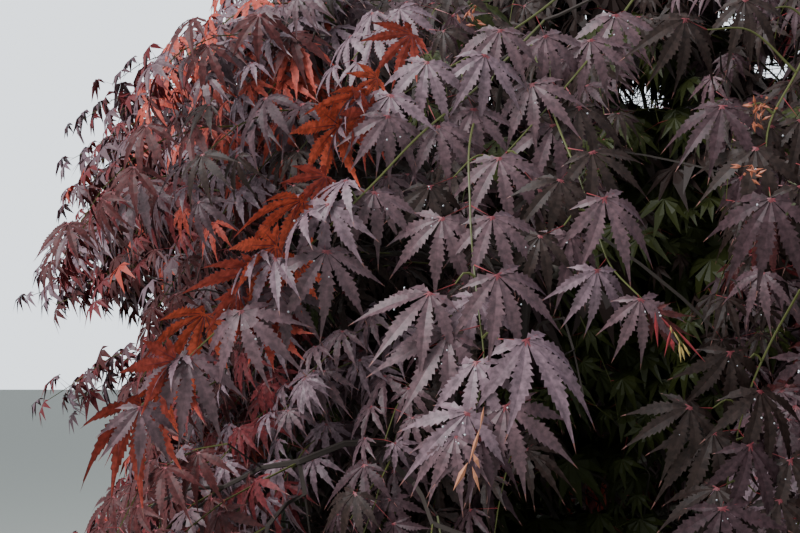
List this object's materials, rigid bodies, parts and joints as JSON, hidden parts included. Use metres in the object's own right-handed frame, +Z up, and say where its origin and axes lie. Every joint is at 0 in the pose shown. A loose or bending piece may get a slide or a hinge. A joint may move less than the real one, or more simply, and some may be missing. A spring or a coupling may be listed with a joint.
{
  "type": "japanese maple tree",
  "caption": "Low mounded maple in purple leaf: a short leaning trunk, forked boughs and tiers of drooping foliage that weep round an open middle.",
  "frame": {"origin": "middle of the trunk's flat cut at ground level", "axes": "+Z up along the trunk; +X and +Y level, with the foliage mass that reaches out furthest at 229 degrees from +X towards +Y"},
  "size_m": [4.2564, 4.3439, 2.9727],
  "materials": {
    "bark": "matte",
    "foliage": "satin"
  },
  "bodies": {
    "root": {"leader": "bark", "main_bough_1": "bark", "main_bough_2": "bark", "main_bough_3": "bark", "middle_bough_1": "bark", "middle_bough_2": "bark", "middle_bough_3": "bark", "middle_bough_4": "bark", "middle_bough_5": "bark", "middle_bough_6": "bark", "reaching_bough": "bark", "skirt_bough_1": "bark", "skirt_bough_2": "bark", "skirt_bough_3": "bark", "skirt_bough_4": "bark", "skirt_bough_5": "bark", "skirt_bough_6": "bark", "trunk": "bark", "upper_bough_1": "bark", "upper_bough_2": "bark", "upper_bough_3": "bark", "upper_bough_4": "bark", "upper_bough_5": "bark", "crown_foliage": "foliage", "middle_foliage_1": "foliage", "middle_foliage_2": "foliage", "middle_foliage_3": "foliage", "middle_foliage_4": "foliage", "middle_foliage_5": "foliage", "middle_foliage_6": "foliage", "reaching_foliage": "foliage", "skirt_foliage_1": "foliage", "skirt_foliage_2": "foliage", "skirt_foliage_3": "foliage", "skirt_foliage_4": "foliage", "skirt_foliage_5": "foliage", "skirt_foliage_6": "foliage", "upper_foliage_1": "foliage", "upper_foliage_2": "foliage", "upper_foliage_3": "foliage", "upper_foliage_4": "foliage", "upper_foliage_5": "foliage"}
  },
  "joints": []
}
